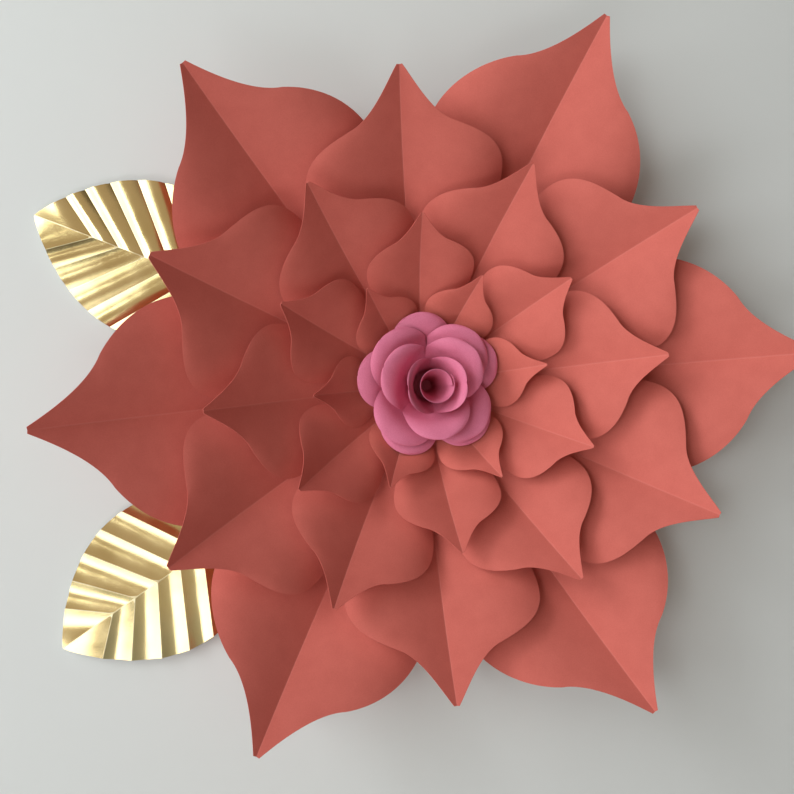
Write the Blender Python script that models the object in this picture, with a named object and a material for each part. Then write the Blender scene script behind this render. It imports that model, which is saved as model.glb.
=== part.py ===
"""Giant paper flower for a wall: thirty creased card petals in five layers round a paper rose.

The flower is laid out face up, in plan, with heights measured from the wall. One empty then
stands it against the wall: its back lies in the plane y = 0 and it faces -Y, with +Z up.
"""

import math
from collections import namedtuple

import bmesh
import bpy
from mathutils import Vector

# Sheet stock, and the gap that every glued pair keeps.
CARD = 0.0004
ROSE_PAPER = 0.0003
BOARD_THICKNESS = 0.0015
GLUE_GAP = 0.0003
SAME_POINT = 1e-6

# The flower's main size: the radius out to the tips of the outer petals. The other layers'
# tips and the leaves' tips are shares of it.
FLOWER_REACH = 0.311

# The tabs of the outer layer lie flat on the board up to the fold, and each next layer folds
# further in and starts further in, on top of the tabs before it.
FOLD_RADIUS = 0.060
FOLD_STEP = 0.009
TAB_START = 0.022
TAB_STEP = 0.003
TAB_HALF_ANGLE = 13.0
BOARD_MARGIN = 0.015

# A petal's outline. From the fold it swells along this ray, at this share of the way to the
# widest place, and levels out over the next share. From there to the tip the handles of its
# curves are shares of the shoulder's length and of the half width.
SWELL_ANGLE = 22.6
SWELL_AT = 0.45
LEVEL_OUT = 0.26
WIDEST_HANDLE = (0.758, 1.0)
NECK_HANDLE_OUT = (0.103, 0.207)
NECK_HANDLE_IN = (-0.091, -0.235)
TIP_HANDLE = (0.145, 0.135)
TIP_WIDTH = 0.027

# A crease rises from its fold with this power of the distance. The outer layer reaches this
# lift, and each next layer climbs faster by the same factor.
OUTER_LIFT = 0.092
LIFT_POWER = 1.75
STEEPER = 1.5

# Across a petal the two sides rise from the crease at this slope, and roll back at the edge.
# The sides open over the first share of the way to the tip, and the roll dies out before it.
SIDE_SLOPE = 0.38
EDGE_ROLL = 0.27
ROLL_POWER = 3.5
OPENED_AT = 0.25
ROLL_FADES_FROM = 0.55
ROLL_GONE_AT = 0.95

# A layer: its tips' share of the flower's reach, the shoulder from the tip to the widest place
# as a share of the petal's own reach, the half angle that the widest place fills, the point
# where the flank turns from hollow to full (as shares of shoulder and half width), and the
# angle at which each of its petals was glued, with its outward shift in steps.
Layer = namedtuple("Layer", "name reach_share shoulder_share half_angle neck glued_at shifts")

SHIFT_STEP = 0.001

LAYERS = (
    Layer("outer", 1.0, 0.3666, 25.0, (0.467, 0.55),
          (66.0, 129.5, 186.0, 242.8, 303.3, 5.0), (5.4, -3.4, -2.6, 3.1, 0.6, -4.2)),
    Layer("second", 0.7942, 0.3080, 25.3, (0.55, 0.53),
          (98.1, 156.4, 213.1, 272.4, 335.2, 34.6), (-0.1, -6.6, 1.0, 2.0, 1.7, 2.2)),
    Layer("third", 0.6045, 0.3245, 26.3, (0.52, 0.54),
          (67.4, 124.0, 186.0, 243.9, 306.3, 7.6), (1.1, -1.6, -4.3, 3.7, 4.0, -0.6)),
    Layer("fourth", 0.4405, 0.2993, 25.1, (0.52, 0.54),
          (95.6, 153.0, 216.4, 278.3, 338.6, 38.5), (0.1, 2.7, 0.4, -1.6, 0.5, 2.2)),
    Layer("inner", 0.3055, 0.3579, 26.0, (0.52, 0.54),
          (66.6, 125.8, 184.8, 245.8, 306.3, 10.4), (2.6, 0.6, 4.0, -4.5, -1.5, -0.2)),
)

# The rose is cut from one blank of six round lobes. Each ring keeps fewer of them and closes
# into a steeper cup on a smaller hub: lobes kept, slope of the cup, outward curl of the lobe
# ends, and the angle of the first lobe.
Ring = namedtuple("Ring", "name lobes slope curl first_lobe")

BLANK_LOBES = 6
BLANK_LENGTH = 0.070
SLIT_START = 0.031
LOBE_CENTRE = 0.048
SLIT_GAP = 0.04
HUB_RADIUS = 0.012
HUB_STEP = 0.002
CUP_BEND = 0.010
CURL_START = 0.050
LOBE_ROLL = 0.22
LOBE_BLUNTNESS = 2.5

RINGS = (
    Ring("outer", 5, 39.0, 50.0, 28.0),
    Ring("second", 4, 47.5, 58.0, 49.0),
    Ring("third", 3, 66.0, 66.0, 40.0),
    Ring("inner", 2, 82.0, 22.0, 5.0),
)

# The bud is one strip rolled into a cone, a little more than one turn.
BUD_TURNS = 1.1
BUD_INNER = 0.0128
BUD_OUTER = 0.0148
BUD_HEIGHT = 0.054
BUD_FOOT_SHARE = 0.36
BUD_FLARE = 1.2

# A leaf: its tip's share of the flower's reach, the tip's angle, the angle that its midrib
# points to, the angle at which its tail ends on the board, between two outer tabs, how far its
# veins sweep towards the tip as a share of the blade's length, and whether it was folded with
# its veins raised and hollows between them, or sunk and the pleats bulging.
Leaf = namedtuple("Leaf", "name tip_share tip_angle axis_angle tail_angle sweep_share raised")

LEAVES = (
    Leaf("upper", 1.132, 156.8, 159.4, 161.0, 0.226, False),
    Leaf("lower", 1.199, 215.6, 214.8, 212.0, 0.152, True),
)

TAIL_RADIUS = 0.040
BLADE_LENGTH = 0.230
BLADE_HALF_WIDTH = 0.065
BLADE_HEIGHT = 0.006
TAIL_HALF_WIDTH = 0.005
FIRST_VEIN = 0.0495
VEIN_SPACING = 0.0223
SWEEP_POWER = 1.5
PLEAT_DEPTH = 0.0023
MIDRIB_PLEAT = 0.6
MIDRIB_SLOPE = 0.09
BLADE_FULLNESS = 0.85
BLADE_BASE_FROM = 0.65


# Scene and materials

def clear_scene():
    """Remove every object that the file opened with."""
    for obj in list(bpy.data.objects):
        bpy.data.objects.remove(obj, do_unlink=True)


def make_material(name, colour, roughness, metallic):
    """A plain Principled material of one colour."""
    material = bpy.data.materials.new(name)
    material.use_nodes = True
    shader = material.node_tree.nodes["Principled BSDF"]
    shader.inputs["Base Color"].default_value = (*colour, 1.0)
    shader.inputs["Roughness"].default_value = roughness
    shader.inputs["Metallic"].default_value = metallic
    return material


def add_sheet(name, mesh, thickness, parent):
    """An object of thin sheet: the mesh is its back face and the thickness grows forward."""
    obj = bpy.data.objects.new(name, mesh)
    bpy.context.collection.objects.link(obj)
    obj.parent = parent
    solidify = obj.modifiers.new("thickness", "SOLIDIFY")
    solidify.thickness = thickness
    solidify.offset = 1.0
    return obj


# Curves and meshes

def bezier(p0, p1, p2, p3, t):
    """A point on a cubic curve."""
    s = 1.0 - t
    return p0 * s**3 + p1 * 3.0 * s * s * t + p2 * 3.0 * s * t * t + p3 * t**3


def smooth_step(x):
    """0 below 0, 1 above 1, and a smooth rise between them."""
    x = min(max(x, 0.0), 1.0)
    return x * x * (3.0 - 2.0 * x)


def polar(radius, degrees):
    """A plan point at an angle round the flower's centre."""
    angle = math.radians(degrees)
    return Vector((radius * math.cos(angle), radius * math.sin(angle)))


def add_grid(bm, rows):
    """Quads between neighbouring rows of points, all rows of one length."""
    grid = [[bm.verts.new(point) for point in row] for row in rows]
    for low, high in zip(grid, grid[1:]):
        for i in range(len(low) - 1):
            bm.faces.new((low[i], high[i], high[i + 1], low[i + 1]))


def finish_mesh(bm, name, material):
    """Join coincident points and turn the sheet so that, over all, its faces look up."""
    bmesh.ops.remove_doubles(bm, verts=bm.verts, dist=SAME_POINT)
    bmesh.ops.recalc_face_normals(bm, faces=bm.faces)
    if sum(face.normal.z * face.calc_area() for face in bm.faces) < 0.0:
        bmesh.ops.reverse_faces(bm, faces=bm.faces)
    mesh = bpy.data.meshes.new(name)
    bm.to_mesh(mesh)
    bm.free()
    mesh.materials.append(material)
    mesh.shade_smooth()
    mesh.set_sharp_from_angle(angle=math.radians(30.0))
    return mesh


# Base disc and the stack of tabs on it

def tab_height(level):
    """Height of the back of the tab that is glued as number `level` on the board."""
    return BOARD_THICKNESS + GLUE_GAP + level * (CARD + GLUE_GAP)


def hub_height(level):
    """Height of the back of ring number `level` of the rose, on the last tabs."""
    return tab_height(len(LAYERS)) + level * (ROSE_PAPER + GLUE_GAP)


def make_base_disc(parent, material):
    """The round board that all tabs are glued to, and that hangs on the wall."""
    bm = bmesh.new()
    radius = FOLD_RADIUS + BOARD_MARGIN
    bmesh.ops.create_circle(bm, cap_ends=True, segments=48, radius=radius)
    mesh = finish_mesh(bm, "base_disc", material)
    return add_sheet("base_disc", mesh, BOARD_THICKNESS, parent)


# Petals

def petal_outline(layer, fold, start):
    """(distance from centre, half width) from the tab's end to the tip."""
    spread = math.tan(math.radians(TAB_HALF_ANGLE))
    reach = FLOWER_REACH * layer.reach_share
    shoulder = reach * layer.shoulder_share
    widest = reach - shoulder
    half_width = widest * math.tan(math.radians(layer.half_angle))
    run = widest - fold
    outline = [(start, start * spread)]
    swell = fold + SWELL_AT * run
    inner = [Vector((fold, fold * spread)),
             Vector((swell, swell * math.tan(math.radians(SWELL_ANGLE)))),
             Vector((widest - LEVEL_OUT * run, half_width)),
             Vector((widest, half_width))]
    neck = Vector(layer.neck)
    full = [Vector((1.0, 1.0)), Vector(WIDEST_HANDLE), neck + Vector(NECK_HANDLE_OUT), neck]
    hollow = [neck, neck + Vector(NECK_HANDLE_IN), Vector(TIP_HANDLE), Vector((0.0, TIP_WIDTH))]
    for i in range(4):
        outline.append(tuple(bezier(*inner, i / 4)))
    for curve, steps in ((full, (0.0, 0.5)), (hollow, (0.0, 0.4, 0.7, 1.0))):
        for t in steps:
            point = bezier(*curve, t)
            outline.append((reach - point.x * shoulder, point.y * half_width))
    return outline


def petal_height(layer, level, fold, distance, half_width, side):
    """Height above the back of the tab at a share `side` of the half width."""
    climb = max(distance - fold, 0.0)
    crease = OUTER_LIFT * STEEPER**level * (climb / (FLOWER_REACH - FOLD_RADIUS))**LIFT_POWER
    share = climb / (FLOWER_REACH * layer.reach_share - fold)
    opening = smooth_step(share / OPENED_AT)
    faded = smooth_step((share - ROLL_FADES_FROM) / (ROLL_GONE_AT - ROLL_FADES_FROM))
    roll = EDGE_ROLL * (1.0 - faded)
    return crease + half_width * opening * (SIDE_SLOPE * side - roll * side**ROLL_POWER)


def make_petal_mesh(layer, level, material):
    """One petal along +X from the centre, its tab's back at height 0."""
    fold = FOLD_RADIUS - level * FOLD_STEP
    start = TAB_START - level * TAB_STEP
    sides = (-1.0, -0.8, -0.45, 0.0, 0.45, 0.8, 1.0)
    rows = []
    for distance, half_width in petal_outline(layer, fold, start):
        rows.append([(distance, side * half_width,
                      petal_height(layer, level, fold, distance, half_width, abs(side)))
                     for side in sides])
    bm = bmesh.new()
    add_grid(bm, rows)
    return finish_mesh(bm, layer.name + "_petal", material)


def make_layer(layer, level, parent, material):
    """Six petals that share one mesh, each glued at its own angle."""
    mesh = make_petal_mesh(layer, level, material)
    for number, (angle, steps) in enumerate(zip(layer.glued_at, layer.shifts), start=1):
        petal = add_sheet(f"{layer.name}_petal_{number}", mesh, CARD, parent)
        petal.location = (*polar(steps * SHIFT_STEP, angle), tab_height(level))
        petal.rotation_euler.z = math.radians(angle)


# Rose

def ring_profile(ring, hub, distances):
    """(radius, height, slope) of the cup at each distance along the blank."""
    profile = []
    radius = 0.0
    height = 0.0
    last = 0.0
    steps = 16
    for distance in distances:
        for i in range(steps):
            middle = last + (distance - last) * (i + 0.5) / steps
            rise = ring.slope * smooth_step((middle - hub) / CUP_BEND)
            curl = max(middle - CURL_START, 0.0) / (BLANK_LENGTH - CURL_START)
            angle = math.radians(rise - ring.curl * curl)
            radius += math.cos(angle) * (distance - last) / steps
            height += math.sin(angle) * (distance - last) / steps
        last = distance
        profile.append((radius, height, angle))
    return profile


def lobe_half_angle(distance):
    """Half angle of a lobe on the flat blank, joined to its neighbours up to the slit."""
    full = math.pi / BLANK_LOBES
    if distance <= SLIT_START:
        return full
    opened = min((distance - SLIT_START) / (LOBE_CENTRE - SLIT_START), 1.0)
    across = min(distance, LOBE_CENTRE) * math.tan(full) * (1.0 - SLIT_GAP * opened)
    if distance > LOBE_CENTRE:
        past = (distance - LOBE_CENTRE) / (BLANK_LENGTH - LOBE_CENTRE)
        across *= max(1.0 - past**LOBE_BLUNTNESS, 0.0)**(1.0 / LOBE_BLUNTNESS)
    return math.atan(across / distance)


def lobe_distances(hub):
    """Distances along the blank from the hub to the lobe's end, closer together at the end."""
    reach = BLANK_LENGTH - LOBE_CENTRE
    cup = [hub, hub + CUP_BEND, SLIT_START, LOBE_CENTRE]
    round_end = [math.sin(math.radians(angle)) for angle in (27.0, 50.0, 76.0)]
    return cup + [LOBE_CENTRE + reach * share for share in round_end]


def make_rose_ring(ring, level, parent, material):
    """One cup of the rose: a hub, a joined wall, and separate lobes that curl outward."""
    hub = HUB_RADIUS - level * HUB_STEP
    distances = lobe_distances(hub)
    profile = ring_profile(ring, hub, distances)
    sides = (-1.0, -0.7, 0.0, 0.7, 1.0)
    turn = 2.0 * math.pi / ring.lobes
    bm = bmesh.new()
    for lobe in range(ring.lobes):
        centre = math.radians(ring.first_lobe) + lobe * turn
        rows = []
        for distance, (radius, height, angle) in zip(distances, profile):
            half = lobe_half_angle(distance)
            opening = smooth_step((distance - SLIT_START) / (LOBE_CENTRE - SLIT_START))
            row = []
            for side in sides:
                roll = LOBE_ROLL * distance * half * opening * abs(side)**3
                out = radius + roll * math.sin(angle)
                around = centre + side * half * BLANK_LOBES / ring.lobes
                row.append((out * math.cos(around), out * math.sin(around),
                            height - roll * math.cos(angle)))
            rows.append(row)
        add_grid(bm, rows)
    bmesh.ops.remove_doubles(bm, verts=bm.verts, dist=SAME_POINT)
    inner = profile[0][0] + SAME_POINT
    hole = [edge for edge in bm.edges if all(v.co.xy.length < inner for v in edge.verts)]
    bmesh.ops.contextual_create(bm, geom=hole)
    name = f"rose_ring_{ring.name}"
    obj = add_sheet(name, finish_mesh(bm, name, material), ROSE_PAPER, parent)
    obj.location.z = hub_height(level)


def make_rose_bud(parent, material):
    """The rolled heart of the rose: one strip whose ends lap, wider at its top."""
    per_turn = 20
    count = round(BUD_TURNS * per_turn)
    rows = []
    for share in (0.0, 0.4, 0.75, 1.0):
        widen = BUD_FOOT_SHARE + (1.0 - BUD_FOOT_SHARE) * share**BUD_FLARE
        row = []
        for i in range(count + 1):
            radius = widen * (BUD_INNER + (BUD_OUTER - BUD_INNER) * i / count)
            around = 2.0 * math.pi * i / per_turn
            row.append((radius * math.cos(around), radius * math.sin(around), share * BUD_HEIGHT))
        rows.append(row)
    bm = bmesh.new()
    add_grid(bm, rows)
    obj = add_sheet("rose_bud", finish_mesh(bm, "rose_bud", material), ROSE_PAPER, parent)
    obj.location.z = hub_height(len(RINGS))


# Leaves

def blade_half_width(from_tip):
    """Half width of the blade at a distance from its tip."""
    share = min(max(from_tip / BLADE_LENGTH, 0.0), 1.0)
    return max(BLADE_HALF_WIDTH * math.sin(math.pi * share**BLADE_FULLNESS), 0.0)


def near_base(from_tip):
    """0 over most of the blade, rising to 1 where the blade ends in its tail."""
    return smooth_step((from_tip / BLADE_LENGTH - BLADE_BASE_FROM) / (1.0 - BLADE_BASE_FROM))


def vein_end(from_tip, sweep_share):
    """Distance from the tip at which the vein that leaves the midrib here meets the edge."""
    sweep = BLADE_LENGTH * sweep_share
    swept = sweep * (1.0 - math.exp(-(from_tip / sweep)**SWEEP_POWER))
    return from_tip - swept * (1.0 - near_base(from_tip))


def pleat(from_tip, raised):
    """Share of the pleat's depth: 1 on a raised vein, 0 on a sunk one, the other way between."""
    if from_tip < FIRST_VEIN:
        share = from_tip / FIRST_VEIN
    else:
        share = (from_tip - FIRST_VEIN) / VEIN_SPACING % 1.0
    bulge = math.sin(math.pi * share)
    return 1.0 - bulge if raised else bulge


def leaf_stations():
    """Distances from the tip along the midrib: four to each pleat, then the blade's end."""
    stations = [FIRST_VEIN * i / 4 for i in range(4)]
    from_tip = FIRST_VEIN
    while from_tip < BLADE_LENGTH - VEIN_SPACING / 8:
        stations.append(from_tip)
        from_tip += VEIN_SPACING / 4
    return stations + [BLADE_LENGTH]


def make_leaf(leaf, parent, material):
    """A pleated blade with a narrow tail that is glued to the board between two tabs."""
    tip = polar(FLOWER_REACH * leaf.tip_share, leaf.tip_angle)
    axis = polar(1.0, leaf.axis_angle)
    across = Vector((-axis.y, axis.x))
    foot = tip - axis * BLADE_LENGTH
    tail_end = polar(TAIL_RADIUS, leaf.tail_angle)
    tail_height = tab_height(0)
    sides = (-1.0, -0.5, 0.0, 0.5, 1.0)
    rows = []
    for station in leaf_stations():
        edge = vein_end(station, leaf.sweep_share)
        tip_share = min(station / FIRST_VEIN, 1.0)
        half_width = max(blade_half_width(edge), TAIL_HALF_WIDTH * tip_share**2)
        depth = PLEAT_DEPTH * tip_share * (1.0 - near_base(station))
        ridge = MIDRIB_SLOPE * half_width * (1.0 - near_base(station))
        row = []
        for side in sides:
            reach = abs(side)
            from_tip = station + (edge - station) * reach
            point = tip - axis * from_tip + across * (side * half_width)
            fold = depth * (MIDRIB_PLEAT + (1.0 - MIDRIB_PLEAT) * reach)
            height = BLADE_HEIGHT + ridge * (1.0 - reach) + fold * pleat(station, leaf.raised)
            row.append((point.x, point.y, height))
        rows.append(row)
    bend = foot - axis * (foot - tail_end).length * 0.4
    for t in (0.3, 0.6, 0.8, 1.0):
        centre = foot * (1.0 - t)**2 + bend * 2.0 * t * (1.0 - t) + tail_end * t * t
        slope = ((bend - foot) * (1.0 - t) + (tail_end - bend) * t).normalized()
        normal = Vector((slope.y, -slope.x))
        height = tail_height + (BLADE_HEIGHT - tail_height) * (1.0 - smooth_step(t / 0.6))
        rows.append([(*(centre + normal * side * TAIL_HALF_WIDTH), height) for side in sides])
    bm = bmesh.new()
    add_grid(bm, rows)
    name = f"leaf_{leaf.name}"
    add_sheet(name, finish_mesh(bm, name, material), CARD, parent)


def build_flower():
    """Every piece, laid out face up under one empty that stands the flower on the wall."""
    clear_scene()
    flower = bpy.data.objects.new("flower", None)
    bpy.context.collection.objects.link(flower)
    flower.rotation_euler.x = math.radians(90.0)
    board = make_material("base_board", (0.55, 0.47, 0.36), 0.9, 0.0)
    coral = make_material("coral_card", (0.65, 0.16, 0.12), 0.75, 0.0)
    pink = make_material("pink_paper", (0.72, 0.20, 0.33), 0.75, 0.0)
    gold = make_material("gold_foil_card", (0.62, 0.43, 0.17), 0.35, 1.0)
    make_base_disc(flower, board)
    for level, layer in enumerate(LAYERS):
        make_layer(layer, level, flower, coral)
    for level, ring in enumerate(RINGS):
        make_rose_ring(ring, level, flower, pink)
    make_rose_bud(flower, pink)
    for leaf in LEAVES:
        make_leaf(leaf, flower, gold)
    bpy.context.view_layer.update()


build_flower()
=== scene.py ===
"""A giant paper flower on a plain wall: coral card petals, a pink paper rose, gold foil leaves.

Metres, +Z up. The wall is the plane y = 0 and the flower faces -Y. Each sheet is first shaped
in plan, lying face up with its height measured from the wall, and then stood up.
"""
import math

import bmesh
import bpy
from mathutils import Matrix, Vector


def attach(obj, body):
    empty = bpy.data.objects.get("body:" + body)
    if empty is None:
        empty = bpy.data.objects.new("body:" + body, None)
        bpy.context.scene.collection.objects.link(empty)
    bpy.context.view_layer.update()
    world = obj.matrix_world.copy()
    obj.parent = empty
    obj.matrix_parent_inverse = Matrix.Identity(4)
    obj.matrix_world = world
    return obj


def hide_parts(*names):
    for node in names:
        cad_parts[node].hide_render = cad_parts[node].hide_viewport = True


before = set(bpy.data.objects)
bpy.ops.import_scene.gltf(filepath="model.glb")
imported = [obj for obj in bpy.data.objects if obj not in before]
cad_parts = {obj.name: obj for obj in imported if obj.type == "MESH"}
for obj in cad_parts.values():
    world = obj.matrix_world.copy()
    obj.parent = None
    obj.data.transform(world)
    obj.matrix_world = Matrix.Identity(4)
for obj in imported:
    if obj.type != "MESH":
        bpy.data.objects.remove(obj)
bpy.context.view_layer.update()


# Camera: a phone held about 0.8 m from the wall, a little to the left of the flower and level
# with it, so the flower's centre leans to the right of its outer petals.
PHOTO_TARGET = Vector((-0.0243, 0.0, -0.0104))
PHOTO_DISTANCE = 0.775
PHOTO_AZIMUTH = math.radians(-7.5)
PHOTO_ELEVATION = math.radians(1.0)
PHOTO_LENS = 40.43
SENSOR_WIDTH = 36.0

back = Vector((math.sin(PHOTO_AZIMUTH) * math.cos(PHOTO_ELEVATION),
               -math.cos(PHOTO_AZIMUTH) * math.cos(PHOTO_ELEVATION),
               math.sin(PHOTO_ELEVATION)))
camera_data = bpy.data.cameras.new("photo_camera")
camera_data.lens = PHOTO_LENS
camera_data.sensor_width = SENSOR_WIDTH
camera = bpy.data.objects.new("photo_camera", camera_data)
camera.location = PHOTO_TARGET + back * PHOTO_DISTANCE
camera.rotation_mode = "QUATERNION"
camera.rotation_quaternion = (-back).to_track_quat("-Z", "Y")
bpy.context.scene.collection.objects.link(camera)
bpy.context.scene.camera = camera
bpy.context.scene.view_settings.view_transform = "Standard"


# Base disc: a round of grey-brown recycled board, die cut. The part's own node keeps its shape
# and gets the board's pulp flecks and a soft fibre relief.
BOARD_PALE = "#B3A68F"
BOARD_WARM = "#9C8F7B"
BOARD_FLECK = "#8B7E6B"


def linear(hex_colour):
    """The linear RGBA of an sRGB hex colour."""
    channels = [int(hex_colour[i:i + 2], 16) / 255.0 for i in (1, 3, 5)]
    return (*[c / 12.92 if c <= 0.04045 else ((c + 0.055) / 1.055) ** 2.4 for c in channels], 1.0)


def add(material, kind, inputs=None, **settings):
    """One node with its settings; an input is a value, or the output that it is linked to."""
    tree = material.node_tree
    made = tree.nodes.new(kind)
    for name, value in settings.items():
        setattr(made, name, value)
    for key, value in (inputs or {}).items():
        if isinstance(value, bpy.types.NodeSocket):
            tree.links.new(value, made.inputs[key])
        else:
            made.inputs[key].default_value = value
    return made


def grey_board():
    """Recycled board: warm grey pulp in paler and darker clouds, with dark flecks."""
    board = bpy.data.materials.new("recycled_grey_board")
    board.use_nodes = True
    shader = board.node_tree.nodes["Principled BSDF"]
    place = add(board, "ShaderNodeTexCoord").outputs["Object"]
    # pulp clouds about 10 mm across and flecks of 1.5 mm
    clouds = add(board, "ShaderNodeTexNoise", {"Vector": place, "Scale": 100.0, "Detail": 4.0})
    flecks = add(board, "ShaderNodeTexNoise", {"Vector": place, "Scale": 650.0, "Detail": 3.0})
    spread = add(board, "ShaderNodeMapRange", {"Value": flecks.outputs["Fac"],
                                               "From Min": 0.35, "From Max": 0.65})
    pulp = add(board, "ShaderNodeMix", {0: clouds.outputs["Fac"], 6: linear(BOARD_WARM),
                                        7: linear(BOARD_PALE)}, data_type="RGBA")
    colour = add(board, "ShaderNodeMix", {0: spread.outputs["Result"], 6: linear(BOARD_FLECK),
                                          7: pulp.outputs[2]}, data_type="RGBA")
    relief = add(board, "ShaderNodeBump", {"Height": flecks.outputs["Fac"], "Strength": 0.4,
                                           "Distance": 0.0003})
    links = board.node_tree.links
    links.new(colour.outputs[2], shader.inputs["Base Color"])
    links.new(relief.outputs["Normal"], shader.inputs["Normal"])
    shader.inputs["Roughness"].default_value = 0.9
    return board


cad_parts["base_disc"].material_slots[0].material = grey_board()


# Petals: 300 gsm coral cardstock, dyed through and matt. Each is cut to a pointed outline,
# scored and folded along its middle, its sides are rolled back over a dowel, and the flat tab
# at its inner end is hot-glued on the board or on the tabs below it.
CARD = 0.0004
BOARD_THICKNESS = 0.0015
GLUE_GAP = 0.0003
FLOWER_REACH = 0.311
FOLD_RADIUS = 0.060
FOLD_STEP = 0.009
TAB_START = 0.022
TAB_STEP = 0.003
TAB_HALF_ANGLE = 13.0

SWELL_ANGLE = 22.6
SWELL_AT = 0.45
LEVEL_OUT = 0.26
WIDEST_HANDLE = (0.758, 1.0)
NECK_HANDLE_OUT = (0.103, 0.207)
NECK_HANDLE_IN = (-0.091, -0.235)
TIP_HANDLE = (0.145, 0.135)
TIP_WIDTH = 0.027

OUTER_LIFT = 0.092
LIFT_POWER = 1.75
STEEPER = 1.5
SIDE_SLOPE = 0.38
EDGE_ROLL = 0.27
ROLL_POWER = 3.5
OPENED_AT = 0.25
ROLL_FADES_FROM = 0.55
ROLL_GONE_AT = 0.95

# name, share of the flower's reach, share of the shoulder, half angle, neck of the outline,
# angle of each petal and its outward shift in millimetres
LAYERS = (
    ("outer", 1.0, 0.3666, 25.0, (0.467, 0.55),
     (66.0, 129.5, 186.0, 242.8, 303.3, 5.0), (5.4, -3.4, -2.6, 3.1, 0.6, -4.2)),
    ("second", 0.7942, 0.3080, 25.3, (0.55, 0.53),
     (98.1, 156.4, 213.1, 272.4, 335.2, 34.6), (-0.1, -6.6, 1.0, 2.0, 1.7, 2.2)),
    ("third", 0.6045, 0.3245, 26.3, (0.52, 0.54),
     (67.4, 124.0, 186.0, 243.9, 306.3, 7.6), (1.1, -1.6, -4.3, 3.7, 4.0, -0.6)),
    ("fourth", 0.4405, 0.2993, 25.1, (0.52, 0.54),
     (95.6, 153.0, 216.4, 278.3, 338.6, 38.5), (0.1, 2.7, 0.4, -1.6, 0.5, 2.2)),
    ("inner", 0.3055, 0.3579, 26.0, (0.52, 0.54),
     (66.6, 125.8, 184.8, 245.8, 306.3, 10.4), (2.6, 0.6, 4.0, -4.5, -1.5, -0.2)),
)
INNER_ROWS = 24
FULL_ROWS = 16
HOLLOW_ROWS = 20
HALF_COLUMNS = 14

SAME_POINT = 1e-6
STAND_UP = Matrix.Rotation(math.radians(90.0), 4, "X")


def smooth_step(x):
    """0 below 0, 1 above 1, and a smooth rise between them."""
    x = min(max(x, 0.0), 1.0)
    return x * x * (3.0 - 2.0 * x)


def bezier(p0, p1, p2, p3, t):
    """A point on a cubic curve."""
    s = 1.0 - t
    return p0 * s ** 3 + p1 * 3.0 * s * s * t + p2 * 3.0 * s * t * t + p3 * t ** 3


def polar(radius, degrees):
    """A plan point at an angle round the flower's centre."""
    angle = math.radians(degrees)
    return Vector((radius * math.cos(angle), radius * math.sin(angle)))


def tab_height(level):
    """Height of the back of the tab that is glued as number `level` on the board."""
    return BOARD_THICKNESS + GLUE_GAP + level * (CARD + GLUE_GAP)


def grid_sheet(rows, columns, place):
    """A bmesh sheet of rows by columns of quads; place(row, side) gives each corner's point."""
    bm = bmesh.new()
    bmesh.ops.create_grid(bm, x_segments=rows, y_segments=columns, size=1.0)
    for vertex in bm.verts:
        row = round((vertex.co.x + 1.0) / 2.0 * rows)
        vertex.co = place(row, vertex.co.y)
    return bm


def finish_sheet(bm, name, thickness, materials):
    """The finished piece: faces up, stood on the wall, as thick as its sheet, on its body."""
    bmesh.ops.remove_doubles(bm, verts=bm.verts, dist=SAME_POINT)
    for edge in bm.edges:
        if edge.is_boundary:
            edge.smooth = False
    bmesh.ops.recalc_face_normals(bm, faces=bm.faces)
    if sum(face.normal.z * face.calc_area() for face in bm.faces) < 0.0:
        bmesh.ops.reverse_faces(bm, faces=bm.faces)
    bmesh.ops.transform(bm, matrix=STAND_UP, verts=bm.verts)
    mesh = bpy.data.meshes.new(name)
    bm.to_mesh(mesh)
    bm.free()
    for material in materials:
        mesh.materials.append(material)
    piece = bpy.data.objects.new(name, mesh)
    bpy.context.scene.collection.objects.link(piece)
    mesh.shade_smooth()
    solid = piece.modifiers.new("sheet_thickness", "SOLIDIFY")
    solid.thickness = thickness
    solid.offset = 1.0
    solid.material_offset = len(materials) - 1
    solid.material_offset_rim = len(materials) - 1
    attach(piece, "root")
    return piece


def card_material(name, light, dark, crease_highlight_colour, roughness):
    """Dyed card: pulp clouds, fine fibre, and a painted highlight, paler along the crease."""
    card = bpy.data.materials.new(name)
    card.use_nodes = True
    shader = card.node_tree.nodes["Principled BSDF"]
    place = add(card, "ShaderNodeTexCoord").outputs["Object"]
    # pulp clouds about 14 mm across; fibre is really 0.2 mm and is drawn 0.9 mm to show
    clouds = add(card, "ShaderNodeTexNoise", {"Vector": place, "Scale": 70.0, "Detail": 3.0})
    fibre = add(card, "ShaderNodeTexNoise", {"Vector": place, "Scale": 1100.0, "Detail": 2.0})
    tone = add(card, "ShaderNodeMath", {0: clouds.outputs["Fac"], 1: fibre.outputs["Fac"]},
               operation="ADD")
    spread = add(card, "ShaderNodeMapRange", {"Value": tone.outputs[0], "From Min": 0.7,
                                              "From Max": 1.3})
    dyed = add(card, "ShaderNodeMix", {0: spread.outputs["Result"], 6: dark, 7: light},
               data_type="RGBA")
    # painted highlight: the card is painted lighter to 1 mm at each side of the crease
    across = add(card, "ShaderNodeAttribute", attribute_name="from_crease")
    crease_highlight = add(card, "ShaderNodeMapRange", {"Value": across.outputs["Fac"], "From Min": 0.0003,
                                              "From Max": 0.0010, "To Min": 0.4, "To Max": 0.0})
    colour = add(card, "ShaderNodeMix", {0: crease_highlight.outputs["Result"], 6: dyed.outputs[2],
                                         7: crease_highlight_colour}, data_type="RGBA")
    relief = add(card, "ShaderNodeBump", {"Height": fibre.outputs["Fac"], "Strength": 0.25,
                                          "Distance": 0.0002})
    links = card.node_tree.links
    links.new(colour.outputs[2], shader.inputs["Base Color"])
    links.new(relief.outputs["Normal"], shader.inputs["Normal"])
    shader.inputs["Roughness"].default_value = roughness
    shader.inputs["Specular IOR Level"].default_value = 0.35
    return card


# the third colour is the painted highlight along each petal's crease
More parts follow.
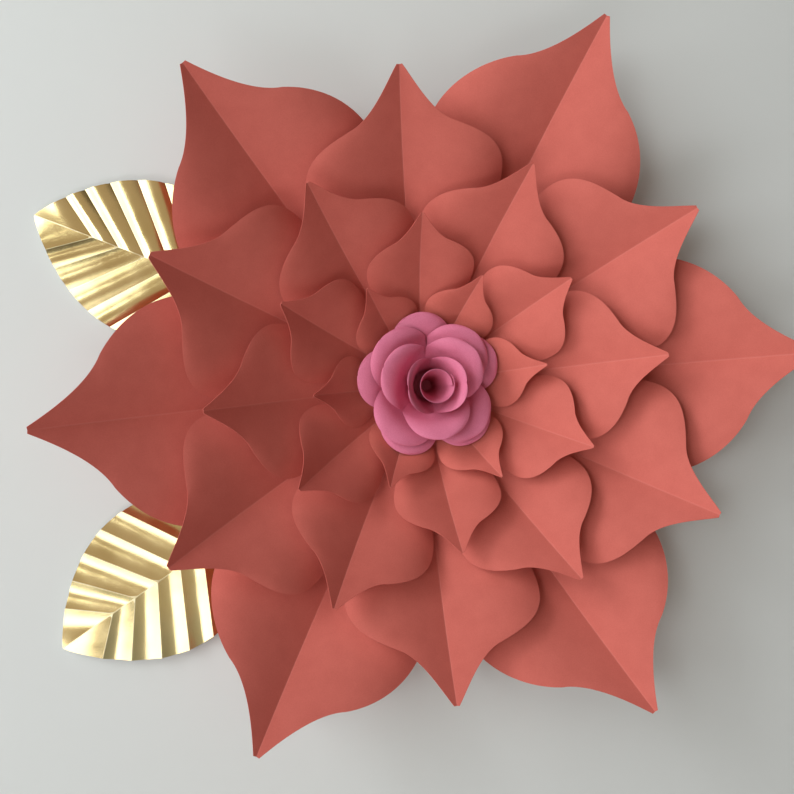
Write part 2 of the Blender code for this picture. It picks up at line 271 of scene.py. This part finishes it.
coral_card = card_material("coral_cardstock", linear("#D46B5F"), linear("#CC6458"),
                           linear("#DB7D72"), 0.8)


def petal_rows(reach_share, shoulder_share, half_angle, neck, fold, start):
    """(distance from centre, half width) from the tab's end to the tip."""
    spread = math.tan(math.radians(TAB_HALF_ANGLE))
    reach = FLOWER_REACH * reach_share
    shoulder = reach * shoulder_share
    widest = reach - shoulder
    half_width = widest * math.tan(math.radians(half_angle))
    run = widest - fold
    swell = fold + SWELL_AT * run
    inner = [Vector((fold, fold * spread)),
             Vector((swell, swell * math.tan(math.radians(SWELL_ANGLE)))),
             Vector((widest - LEVEL_OUT * run, half_width)),
             Vector((widest, half_width))]
    neck = Vector(neck)
    full = [Vector((1.0, 1.0)), Vector(WIDEST_HANDLE), neck + Vector(NECK_HANDLE_OUT), neck]
    hollow = [neck, neck + Vector(NECK_HANDLE_IN), Vector(TIP_HANDLE), Vector((0.0, TIP_WIDTH))]
    rows = [(start, start * spread), ((start + fold) / 2.0, (start + fold) / 2.0 * spread)]
    rows += [tuple(bezier(*inner, i / INNER_ROWS)) for i in range(INNER_ROWS)]
    for curve, count in ((full, FULL_ROWS), (hollow, HOLLOW_ROWS)):
        for i in range(count):
            point = bezier(*curve, i / count)
            rows.append((reach - point.x * shoulder, point.y * half_width))
    return rows + [(reach, TIP_WIDTH * half_width)]


def petal_height(level, reach, fold, distance, half_width, side):
    """Height above the back of the tab at a share `side` of the half width."""
    climb = max(distance - fold, 0.0)
    crease = OUTER_LIFT * STEEPER ** level * (climb / (FLOWER_REACH - FOLD_RADIUS)) ** LIFT_POWER
    share = climb / (reach - fold)
    opening = smooth_step(share / OPENED_AT)
    faded = smooth_step((share - ROLL_FADES_FROM) / (ROLL_GONE_AT - ROLL_FADES_FROM))
    roll = EDGE_ROLL * (1.0 - faded)
    return crease + half_width * opening * (SIDE_SLOPE * side - roll * side ** ROLL_POWER)


def make_petal(layer, level, number, angle, shift):
    """One petal, shaped along +X and then turned to its angle on the board."""
    name, reach_share, shoulder_share, half_angle, neck, _, _ = layer
    fold = FOLD_RADIUS - level * FOLD_STEP
    rows = petal_rows(reach_share, shoulder_share, half_angle, neck, fold,
                      TAB_START - level * TAB_STEP)

    def place(row, side):
        distance, half_width = rows[row]
        height = petal_height(level, FLOWER_REACH * reach_share, fold, distance, half_width,
                              abs(side))
        return distance, side * half_width, height

    bm = grid_sheet(len(rows) - 1, 2 * HALF_COLUMNS, place)
    from_crease = bm.verts.layers.float.new("from_crease")
    for vertex in bm.verts:
        vertex[from_crease] = abs(vertex.co.y)
    for edge in bm.edges:
        edge.smooth = not all(abs(vertex.co.y) < SAME_POINT for vertex in edge.verts)
    turn = Matrix.Rotation(math.radians(angle), 4, "Z")
    turn.translation = (*polar(shift * 0.001, angle), tab_height(level))
    bmesh.ops.transform(bm, matrix=turn, verts=bm.verts)
    node = f"{name}_petal_{number}"
    petal = finish_sheet(bm, node + "_card", CARD, (coral_card,))
    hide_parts(node)


for level, layer in enumerate(LAYERS):
    for number, (angle, shift) in enumerate(zip(layer[5], layer[6]), start=1):
        make_petal(layer, level, number, angle, shift)


# Rose: four cups of pink paper and a rolled bud. Every cup is cut from one blank of six round
# lobes; each next one keeps fewer of them, is glued into a steeper cup, and has its lobe ends
# curled outward over a pencil.
ROSE_PAPER = 0.0003
BLANK_LOBES = 6
BLANK_LENGTH = 0.070
SLIT_START = 0.031
LOBE_CENTRE = 0.048
SLIT_GAP = 0.04
HUB_RADIUS = 0.012
HUB_STEP = 0.002
CUP_BEND = 0.010
CURL_START = 0.050
LOBE_ROLL = 0.22
LOBE_BLUNTNESS = 2.5
CUP_ROWS = 12
SLIT_ROWS = 6
LOBE_ROWS = 18
LAST_ROW_ANGLE = 88.0
LOBE_COLUMNS = 24
BEND_STEPS = 8

# name, lobes kept, slope of the cup, outward curl of the lobe ends, angle of the first lobe
RINGS = (
    ("outer", 5, 39.0, 50.0, 28.0),
    ("second", 4, 47.5, 58.0, 49.0),
    ("third", 3, 66.0, 66.0, 40.0),
    ("inner", 2, 82.0, 22.0, 5.0),
)

# the third colour is a painted crease highlight, which the rose and bud never show
pink_paper = card_material("pink_rose_paper", linear("#E47E9B"), linear("#DB7391"),
                           linear("#EA90A9"), 0.75)


def hub_height(level):
    """Height of the back of cup number `level` of the rose, on the last tabs."""
    return tab_height(len(LAYERS)) + level * (ROSE_PAPER + GLUE_GAP)


def cup_distances(hub):
    """Distances along the blank from the hub to the lobe's end, closer together at the end."""
    cup = [hub + (SLIT_START - hub) * i / CUP_ROWS for i in range(CUP_ROWS)]
    cup += [SLIT_START + (LOBE_CENTRE - SLIT_START) * i / SLIT_ROWS for i in range(SLIT_ROWS)]
    for i in range(LOBE_ROWS + 1):
        round_end = math.sin(math.radians(LAST_ROW_ANGLE * i / LOBE_ROWS))
        cup.append(LOBE_CENTRE + (BLANK_LENGTH - LOBE_CENTRE) * round_end)
    return cup


def cup_profile(slope, curl, hub, distances):
    """(radius, height, slope) of the cup at each distance along the blank."""
    profile = []
    radius = height = last = 0.0
    for distance in distances:
        step = (distance - last) / BEND_STEPS
        for i in range(BEND_STEPS):
            middle = last + step * (i + 0.5)
            rise = slope * smooth_step((middle - hub) / CUP_BEND)
            curled = max(middle - CURL_START, 0.0) / (BLANK_LENGTH - CURL_START)
            angle = math.radians(rise - curl * curled)
            radius += math.cos(angle) * step
            height += math.sin(angle) * step
        last = distance
        profile.append((radius, height, angle))
    return profile


def lobe_half_angle(distance):
    """Half angle of a lobe on the flat blank, joined to its neighbours up to the slit."""
    full = math.pi / BLANK_LOBES
    if distance <= SLIT_START:
        return full
    opened = min((distance - SLIT_START) / (LOBE_CENTRE - SLIT_START), 1.0)
    across = min(distance, LOBE_CENTRE) * math.tan(full) * (1.0 - SLIT_GAP * opened)
    if distance > LOBE_CENTRE:
        past = (distance - LOBE_CENTRE) / (BLANK_LENGTH - LOBE_CENTRE)
        across *= max(1.0 - past ** LOBE_BLUNTNESS, 0.0) ** (1.0 / LOBE_BLUNTNESS)
    return math.atan(across / distance)


def no_crease_highlight(bm):
    """Mark every point as far from any crease, so that the paper shows no painted crease
    highlight.
    """
    from_crease = bm.verts.layers.float.new("from_crease")
    for vertex in bm.verts:
        vertex[from_crease] = 1.0


def make_cup(name, lobes, slope, curl, first_lobe, level):
    """One cup: its lobes are shaped one by one and joined below the slits and round the hub."""
    hub = HUB_RADIUS - level * HUB_STEP
    distances = cup_distances(hub)
    profile = cup_profile(slope, curl, hub, distances)
    whole = bmesh.new()
    for lobe in range(lobes):
        centre = math.radians(first_lobe) + lobe * 2.0 * math.pi / lobes

        def place(row, side):
            distance = distances[row]
            radius, height, angle = profile[row]
            half = lobe_half_angle(distance)
            opening = smooth_step((distance - SLIT_START) / (LOBE_CENTRE - SLIT_START))
            roll = LOBE_ROLL * distance * half * opening * abs(side) ** 3
            out = radius + roll * math.sin(angle)
            around = centre + side * half * BLANK_LOBES / lobes
            return out * math.cos(around), out * math.sin(around), height - roll * math.cos(angle)

        part = grid_sheet(len(distances) - 1, LOBE_COLUMNS, place)
        mesh = bpy.data.meshes.new("lobe")
        part.to_mesh(mesh)
        part.free()
        whole.from_mesh(mesh)
        bpy.data.meshes.remove(mesh)
    bmesh.ops.remove_doubles(whole, verts=whole.verts, dist=SAME_POINT)
    inner = profile[0][0] + SAME_POINT
    hole = [edge for edge in whole.edges if all(v.co.xy.length < inner for v in edge.verts)]
    bmesh.ops.contextual_create(whole, geom=hole)
    no_crease_highlight(whole)
    bmesh.ops.translate(whole, verts=whole.verts, vec=(0.0, 0.0, hub_height(level)))
    node = f"rose_ring_{name}"
    cup = finish_sheet(whole, node + "_paper", ROSE_PAPER, (pink_paper,))
    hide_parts(node)


for level, ring in enumerate(RINGS):
    make_cup(*ring, level)


# Bud: one strip of the same pink paper, rolled into a cone with its ends lapped and glued by
# its lower edge on the innermost cup.
BUD_TURNS = 1.1
BUD_INNER = 0.0128
BUD_OUTER = 0.0148
BUD_HEIGHT = 0.054
BUD_FOOT_SHARE = 0.36
BUD_FLARE = 1.2
BUD_ROWS = 16
BUD_COLUMNS = 80


def bud_place(row, side):
    """A point of the strip: side runs along the spiral, and row up the cone."""
    share = row / BUD_ROWS
    along = (side + 1.0) / 2.0
    widen = BUD_FOOT_SHARE + (1.0 - BUD_FOOT_SHARE) * share ** BUD_FLARE
    radius = widen * (BUD_INNER + (BUD_OUTER - BUD_INNER) * along)
    around = 2.0 * math.pi * BUD_TURNS * along
    return radius * math.cos(around), radius * math.sin(around), share * BUD_HEIGHT


bud_bm = grid_sheet(BUD_ROWS, BUD_COLUMNS, bud_place)
no_crease_highlight(bud_bm)
bmesh.ops.translate(bud_bm, verts=bud_bm.verts, vec=(0.0, 0.0, hub_height(len(RINGS))))
bud = finish_sheet(bud_bm, "rose_bud_paper", ROSE_PAPER, (pink_paper,))
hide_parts("rose_bud")


# Leaves: white card faced with gold foil, scored and folded along the midrib and the veins. On
# the lower leaf the veins stand up with hollows between them, and on the upper one they are
# sunk and the pleats bulge; a narrow tail runs to the board between two tabs.
TAIL_RADIUS = 0.040
BLADE_LENGTH = 0.230
BLADE_HALF_WIDTH = 0.065
BLADE_HEIGHT = 0.006
TAIL_HALF_WIDTH = 0.005
FIRST_VEIN = 0.0495
VEIN_SPACING = 0.0223
SWEEP_POWER = 1.5
PLEAT_DEPTH = 0.0023
MIDRIB_PLEAT = 0.6
MIDRIB_SLOPE = 0.09
BLADE_FULLNESS = 0.85
BLADE_BASE_FROM = 0.65
TAIL_BEND = 0.4
TAIL_DROP = 0.6
ROWS_PER_PLEAT = 10
TAIL_ROWS = 14
LEAF_COLUMNS = 24

# name, share of the flower's reach, angles of tip, midrib and tail, sweep of the veins as a
# share of the blade's length, and whether the veins are raised
FLOWER_LEAVES = (
    ("upper", 1.132, 156.8, 159.4, 161.0, 0.226, False),
    ("lower", 1.199, 215.6, 214.8, 212.0, 0.152, True),
)


def gold_foil():
    """Rolled metal foil on card: satin, a little crumpled where it was folded by hand."""
    foil = bpy.data.materials.new("gold_foil_facing")
    foil.use_nodes = True
    shader = foil.node_tree.nodes["Principled BSDF"]
    place = add(foil, "ShaderNodeTexCoord").outputs["Object"]
    # soft dents about 20 mm long, and a satin grain of 0.8 mm, drawn coarser than the real one
    creases = add(foil, "ShaderNodeTexNoise", {"Vector": place, "Scale": 45.0, "Detail": 1.0})
    grain = add(foil, "ShaderNodeTexNoise", {"Vector": place, "Scale": 1250.0, "Detail": 2.0})
    tone = add(foil, "ShaderNodeMix", {0: creases.outputs["Fac"], 6: linear("#D9C287"),
                                       7: linear("#E6D09C")}, data_type="RGBA")
    # painted highlight: the foil is painted paler, and made duller, to 0.5 mm at each side of
    # every fold
    across = add(foil, "ShaderNodeAttribute", attribute_name="from_crease")
    fold_highlight = add(foil, "ShaderNodeMapRange", {"Value": across.outputs["Fac"], "From Min": 0.0001,
                                              "From Max": 0.0005, "To Min": 0.5, "To Max": 0.0})
    colour = add(foil, "ShaderNodeMix", {0: fold_highlight.outputs["Result"], 6: tone.outputs[2],
                                         7: linear("#F6EBCB")}, data_type="RGBA")
    satin = add(foil, "ShaderNodeMapRange", {"Value": creases.outputs["Fac"], "From Min": 0.3,
                                             "From Max": 0.7, "To Min": 0.15, "To Max": 0.23})
    duller_at_folds = add(foil, "ShaderNodeMath", {0: fold_highlight.outputs["Result"], 1: 0.4,
                                        2: satin.outputs["Result"]}, operation="MULTIPLY_ADD")
    crumple = add(foil, "ShaderNodeBump", {"Height": creases.outputs["Fac"], "Strength": 0.25,
                                           "Distance": 0.001})
    relief = add(foil, "ShaderNodeBump", {"Height": grain.outputs["Fac"], "Strength": 0.15,
                                          "Distance": 0.0002,
                                          "Normal": crumple.outputs["Normal"]})
    links = foil.node_tree.links
    links.new(colour.outputs[2], shader.inputs["Base Color"])
    links.new(duller_at_folds.outputs[0], shader.inputs["Roughness"])
    links.new(relief.outputs["Normal"], shader.inputs["Normal"])
    shader.inputs["Metallic"].default_value = 1.0
    return foil


gold_face = gold_foil()
# along the leaf's folds the painted highlight mixes the back towards its lighter colour
white_back = card_material("white_card_back", linear("#EDE8DC"), linear("#E4DED0"),
                           linear("#EDE8DC"), 0.85)


def blade_half_width(from_tip):
    """Half width of the blade at a distance from its tip."""
    share = min(max(from_tip / BLADE_LENGTH, 0.0), 1.0)
    return max(BLADE_HALF_WIDTH * math.sin(math.pi * share ** BLADE_FULLNESS), 0.0)


def near_base(from_tip):
    """0 over most of the blade, rising to 1 where the blade ends in its tail."""
    return smooth_step((from_tip / BLADE_LENGTH - BLADE_BASE_FROM) / (1.0 - BLADE_BASE_FROM))


def vein_end(from_tip, sweep_share):
    """Distance from the tip at which the vein that leaves the midrib here meets the edge."""
    sweep = BLADE_LENGTH * sweep_share
    swept = sweep * (1.0 - math.exp(-(from_tip / sweep) ** SWEEP_POWER))
    return from_tip - swept * (1.0 - near_base(from_tip))


def pleat(from_tip, raised):
    """Share of the pleat's depth: 1 on a raised vein, 0 on a sunk one, the other way between."""
    if from_tip < FIRST_VEIN:
        share = from_tip / FIRST_VEIN
    else:
        share = (from_tip - FIRST_VEIN) / VEIN_SPACING % 1.0
    bulge = math.sin(math.pi * share)
    return 1.0 - bulge if raised else bulge


def leaf_stations():
    """Distances from the tip along the midrib, and the rows that lie on a vein."""
    stations = [FIRST_VEIN * i / (2 * ROWS_PER_PLEAT) for i in range(2 * ROWS_PER_PLEAT)]
    veins = []
    count = int((BLADE_LENGTH - FIRST_VEIN) / VEIN_SPACING * ROWS_PER_PLEAT)
    for i in range(count):
        if i % ROWS_PER_PLEAT == 0:
            veins.append(len(stations))
        stations.append(FIRST_VEIN + VEIN_SPACING * i / ROWS_PER_PLEAT)
    return stations + [BLADE_LENGTH], veins


def make_leaf(name, tip_share, tip_angle, axis_angle, tail_angle, sweep_share, raised):
    """A pleated blade with a narrow tail that is glued to the board between two tabs."""
    tip = polar(FLOWER_REACH * tip_share, tip_angle)
    axis = polar(1.0, axis_angle)
    across = Vector((-axis.y, axis.x))
    foot = tip - axis * BLADE_LENGTH
    tail_end = polar(TAIL_RADIUS, tail_angle)
    tail_height = tab_height(0)
    stations, veins = leaf_stations()
    bend = foot - axis * (foot - tail_end).length * TAIL_BEND

    def place(row, side):
        if row >= len(stations):
            t = (row - len(stations) + 1) / TAIL_ROWS
            centre = foot * (1.0 - t) ** 2 + bend * 2.0 * t * (1.0 - t) + tail_end * t * t
            slope = ((bend - foot) * (1.0 - t) + (tail_end - bend) * t).normalized()
            normal = Vector((slope.y, -slope.x))
            dropped = smooth_step(t / TAIL_DROP)
            height = tail_height + (BLADE_HEIGHT - tail_height) * (1.0 - dropped)
            return (*(centre + normal * side * TAIL_HALF_WIDTH), height)
        station = stations[row]
        edge = vein_end(station, sweep_share)
        past_tip = min(station / FIRST_VEIN, 1.0)
        half_width = max(blade_half_width(edge), TAIL_HALF_WIDTH * past_tip ** 2)
        depth = PLEAT_DEPTH * past_tip * (1.0 - near_base(station))
        crown = MIDRIB_SLOPE * half_width * (1.0 - near_base(station))
        reach = abs(side)
        from_tip = station + (edge - station) * reach
        point = tip - axis * from_tip + across * (side * half_width)
        fold = depth * (MIDRIB_PLEAT + (1.0 - MIDRIB_PLEAT) * reach)
        height = BLADE_HEIGHT + crown * (1.0 - reach) + fold * pleat(station, raised)
        return point.x, point.y, height

    def from_fold(row, side):
        """Distance to the nearest vein or to the midrib, or 1 on the tail."""
        if row >= len(stations):
            return 1.0
        past = stations[row] - FIRST_VEIN
        to_vein = min(past % VEIN_SPACING, -past % VEIN_SPACING) if past > 0.0 else -past
        return min(to_vein, abs(side) * blade_half_width(vein_end(stations[row], sweep_share)))

    bm = bmesh.new()
    rows = len(stations) + TAIL_ROWS - 1
    bmesh.ops.create_grid(bm, x_segments=rows, y_segments=LEAF_COLUMNS, size=1.0)
    for edge in bm.edges:
        at = [round((vertex.co.x + 1.0) / 2.0 * rows) for vertex in edge.verts]
        on_vein = at[0] == at[1] and at[0] in veins
        in_middle = all(abs(vertex.co.y) < SAME_POINT for vertex in edge.verts)
        edge.smooth = not (on_vein or (in_middle and at[0] < veins[-1]))
    from_crease = bm.verts.layers.float.new("from_crease")
    for vertex in bm.verts:
        row = round((vertex.co.x + 1.0) / 2.0 * rows)
        vertex[from_crease] = from_fold(row, vertex.co.y)
        vertex.co = place(row, vertex.co.y)
    node = f"leaf_{name}"
    leaf = finish_sheet(bm, node + "_foil", CARD, (gold_face, white_back))
    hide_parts(node)


for leaf in FLOWER_LEAVES:
    make_leaf(*leaf)


# Wall and floor: a pale painted wall that the flower hangs on, and a pale floor well below it.
# Seen from behind the wall isn't there, so that the flower's back can be looked at, and the
# light behind it reaches only what a view from behind shows.
WALL_HALF_WIDTH = 2.0
WALL_HALF_HEIGHT = 1.25
FLOOR_HALF_WIDTH = 3.0
STAGE_GAP = 0.0003


def stage_plane(name, half_x, half_y, matrix, material):
    """A flat sheet that belongs to the stage."""
    bm = bmesh.new()
    bmesh.ops.create_grid(bm, x_segments=1, y_segments=1, size=1.0)
    bmesh.ops.scale(bm, vec=(half_x, half_y, 1.0), verts=bm.verts)
    bmesh.ops.transform(bm, matrix=matrix, verts=bm.verts)
    mesh = bpy.data.meshes.new(name)
    bm.to_mesh(mesh)
    bm.free()
    mesh.materials.append(material)
    plane = bpy.data.objects.new(name, mesh)
    bpy.context.scene.collection.objects.link(plane)


wall_paint = bpy.data.materials.new("matt_wall_paint")
wall_paint.use_nodes = True
wall_shader = wall_paint.node_tree.nodes["Principled BSDF"]
wall_shader.inputs["Base Color"].default_value = linear("#DEDDDA")
wall_shader.inputs["Roughness"].default_value = 0.9
# the wall is open to every ray from behind, and to the lamps' rays to what is seen directly
seen_side = add(wall_paint, "ShaderNodeNewGeometry")
ray = add(wall_paint, "ShaderNodeLightPath")
first_hit = add(wall_paint, "ShaderNodeMath", {0: ray.outputs["Ray Depth"], 1: 1.5},
                operation="LESS_THAN")
lamp_passes = add(wall_paint, "ShaderNodeMath", {0: first_hit.outputs[0],
                                                 1: ray.outputs["Is Shadow Ray"]},
                  operation="MULTIPLY")
open_wall = add(wall_paint, "ShaderNodeMath", {0: lamp_passes.outputs[0],
                                               1: seen_side.outputs["Backfacing"]},
                operation="MAXIMUM")
clear = add(wall_paint, "ShaderNodeBsdfTransparent")
wall_mix = add(wall_paint, "ShaderNodeMixShader", {0: open_wall.outputs[0],
                                                   1: wall_shader.outputs[0],
                                                   2: clear.outputs[0]})
wall_paint.node_tree.links.new(
    wall_mix.outputs[0], wall_paint.node_tree.nodes["Material Output"].inputs["Surface"])
stage_plane("wall", WALL_HALF_WIDTH, WALL_HALF_HEIGHT,
            Matrix.Translation((0.0, STAGE_GAP, 0.0)) @ STAND_UP, wall_paint)

floor_paint = bpy.data.materials.new("pale_floor")
floor_paint.use_nodes = True
floor_shader = floor_paint.node_tree.nodes["Principled BSDF"]
floor_shader.inputs["Base Color"].default_value = linear("#D2D2CF")
floor_shader.inputs["Roughness"].default_value = 0.9
stage_plane("floor", FLOOR_HALF_WIDTH, FLOOR_HALF_WIDTH,
            Matrix.Translation((0.0, 0.0, -WALL_HALF_HEIGHT)), floor_paint)


# Light: daylight from a tall window at the left, in panes of different brightness, a warmer
# fill from the room in front, a low reflector card that shows in the foil of the lower leaf, and
# a lamp behind the wall for views from behind.
WINDOW_X = -1.7
WINDOW_COLOUR = (0.91, 1.0, 1.03)
# from the wall outwards (start, end), heights (low, high), and radiance
WINDOW_PANES = (
    (0.20, 0.70, -0.3, 0.6, 1.6),
    (0.20, 0.70, 0.6, 1.7, 1.0),
    (0.70, 1.40, -0.3, 0.6, 4.0),
    (0.70, 1.40, 0.6, 1.7, 9.5),
    (1.40, 2.40, -0.3, 0.6, 2.5),
    (2.40, 3.90, -0.3, 0.6, 8.2),
    (1.40, 2.60, 0.6, 1.7, 3.4),
)
# name, place, the point that it faces, width, height, radiance and colour
OTHER_LAMPS = (
    ("room_fill", (-0.2, -1.7, 0.2), (-0.2, 0.0, 0.2), 2.4, 2.2, 0.30, (1.2, 1.0, 0.78)),
    ("low_reflector", (-0.9, -1.3, -0.9), (-0.27, 0.0, -0.05), 1.2, 0.38, 3.4, (0.97, 1.0, 1.05)),
    ("behind", (0.6, 1.6, 0.6), (0.0, 0.0, 0.0), 1.2, 1.2, 5.0, (1.0, 1.0, 1.0)),
)


def area_lamp(name, place, towards, width, height, radiance, colour):
    """A soft lamp, width by height, that faces a point."""
    data = bpy.data.lights.new(name, "AREA")
    data.shape = "RECTANGLE"
    data.size = width
    data.size_y = height
    data.energy = radiance * math.pi * width * height
    data.color = colour
    lamp = bpy.data.objects.new(name, data)
    lamp.location = place
    lamp.rotation_mode = "QUATERNION"
    lamp.rotation_quaternion = (Vector(towards) - Vector(place)).to_track_quat("-Z", "Y")
    bpy.context.scene.collection.objects.link(lamp)


for number, (start, end, low, high, radiance) in enumerate(WINDOW_PANES, start=1):
    middle = (WINDOW_X, -(start + end) / 2.0, (low + high) / 2.0)
    area_lamp(f"window_pane_{number}", middle, (0.0, middle[1], middle[2]), end - start,
              high - low, radiance, WINDOW_COLOUR)
for lamp in OTHER_LAMPS:
    area_lamp(*lamp)

room = bpy.data.worlds.new("room")
room.use_nodes = True
bounce = room.node_tree.nodes["Background"]
bounce.inputs["Color"].default_value = linear("#B8A898")
bounce.inputs["Strength"].default_value = 0.03
# past the wall's edges the camera and the foil see the room's plain backdrop, which lights
# nothing else
seen = add(room, "ShaderNodeLightPath")
mirrored = add(room, "ShaderNodeMath", {0: seen.outputs["Is Glossy Ray"],
                                        1: seen.outputs["Is Transmission Ray"]},
               operation="MAXIMUM")
in_view = add(room, "ShaderNodeMath", {0: seen.outputs["Is Camera Ray"],
                                       1: mirrored.outputs[0]}, operation="MAXIMUM")
backdrop = add(room, "ShaderNodeBackground", {"Color": linear("#6A635A"), "Strength": 1.0})
view = add(room, "ShaderNodeMixShader", {0: in_view.outputs[0], 1: bounce.outputs[0],
                                         2: backdrop.outputs[0]})
room.node_tree.links.new(view.outputs[0], room.node_tree.nodes["World Output"].inputs["Surface"])
bpy.context.scene.world = room
